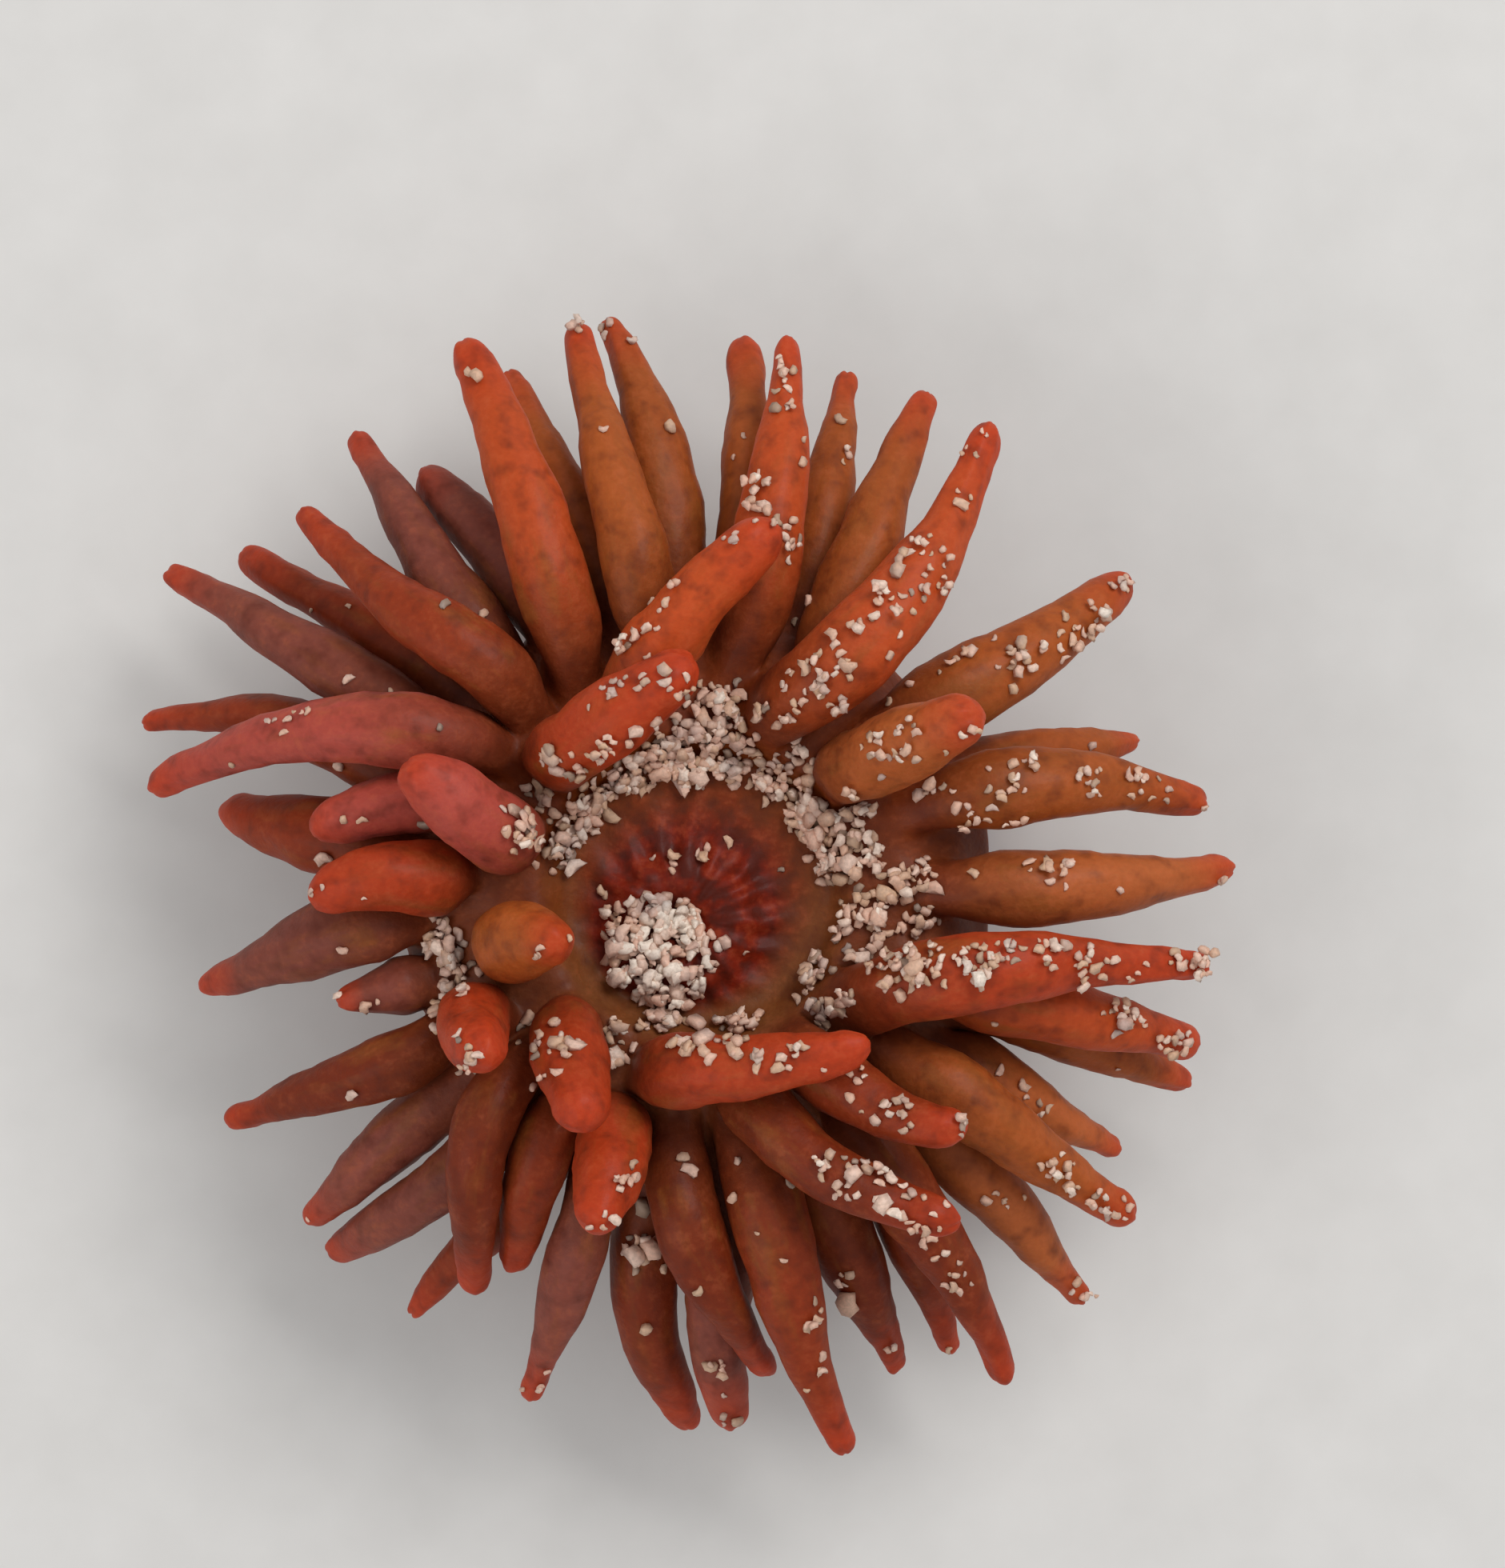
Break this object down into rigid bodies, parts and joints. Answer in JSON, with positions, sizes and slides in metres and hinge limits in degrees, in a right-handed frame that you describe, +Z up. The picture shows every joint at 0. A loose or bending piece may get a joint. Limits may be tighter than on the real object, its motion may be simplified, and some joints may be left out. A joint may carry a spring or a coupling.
{
  "type": "beadlet anemone",
  "caption": "Open beadlet anemone: a low smooth column on a flat foot, a collar of small blue beads, a dished mouth disc and tapering red tentacles arching outwards.",
  "frame": {"origin": "centre of the flat underside of the pedal disc, on the ground", "axes": "+Z up along the column towards the mouth, +X to the right and +Y to the top of the picture, which looks straight down on the open crown"},
  "size_m": [0.0549, 0.0571, 0.0262],
  "materials": {
    "column_flesh": "wet gloss",
    "bead_flesh": "wet gloss",
    "disc_flesh": "wet gloss",
    "mouth_flesh": "wet gloss",
    "tentacle_flesh": "wet gloss",
    "sand": "matte"
  },
  "bodies": {
    "root": {"column": "column_flesh", "collar": "bead_flesh", "oral_disc": "disc_flesh", "mouth": "mouth_flesh", "tentacle_outer_01": "tentacle_flesh", "tentacle_outer_02": "tentacle_flesh", "tentacle_outer_03": "tentacle_flesh", "tentacle_outer_04": "tentacle_flesh", "tentacle_outer_05": "tentacle_flesh", "tentacle_outer_06": "tentacle_flesh", "tentacle_outer_07": "tentacle_flesh", "tentacle_outer_08": "tentacle_flesh", "tentacle_outer_09": "tentacle_flesh", "tentacle_outer_10": "tentacle_flesh", "tentacle_outer_11": "tentacle_flesh", "tentacle_outer_12": "tentacle_flesh", "tentacle_outer_13": "tentacle_flesh", "tentacle_outer_14": "tentacle_flesh", "tentacle_outer_15": "tentacle_flesh", "tentacle_outer_16": "tentacle_flesh", "tentacle_outer_17": "tentacle_flesh", "tentacle_outer_18": "tentacle_flesh", "tentacle_outer_19": "tentacle_flesh", "tentacle_outer_20": "tentacle_flesh", "tentacle_outer_21": "tentacle_flesh", "tentacle_outer_22": "tentacle_flesh", "tentacle_outer_23": "tentacle_flesh", "tentacle_outer_24": "tentacle_flesh", "tentacle_outer_25": "tentacle_flesh", "tentacle_middle_01": "tentacle_flesh", "tentacle_middle_02": "tentacle_flesh", "tentacle_middle_03": "tentacle_flesh", "tentacle_middle_04": "tentacle_flesh", "tentacle_middle_05": "tentacle_flesh", "tentacle_middle_06": "tentacle_flesh", "tentacle_middle_07": "tentacle_flesh", "tentacle_middle_08": "tentacle_flesh", "tentacle_middle_09": "tentacle_flesh", "tentacle_middle_10": "tentacle_flesh", "tentacle_middle_11": "tentacle_flesh", "tentacle_middle_12": "tentacle_flesh", "tentacle_middle_13": "tentacle_flesh", "tentacle_middle_14": "tentacle_flesh", "tentacle_middle_15": "tentacle_flesh", "tentacle_middle_16": "tentacle_flesh", "tentacle_middle_17": "tentacle_flesh", "tentacle_middle_18": "tentacle_flesh", "tentacle_middle_19": "tentacle_flesh", "tentacle_middle_20": "tentacle_flesh", "tentacle_inner_01": "tentacle_flesh", "tentacle_inner_02": "tentacle_flesh", "tentacle_inner_03": "tentacle_flesh", "tentacle_inner_04": "tentacle_flesh", "tentacle_inner_05": "tentacle_flesh", "tentacle_inner_06": "tentacle_flesh", "tentacle_inner_07": "tentacle_flesh", "tentacle_inner_08": "tentacle_flesh", "tentacle_inner_09": "tentacle_flesh", "tentacle_inner_10": "tentacle_flesh", "tentacle_inner_11": "tentacle_flesh"}
  },
  "joints": []
}
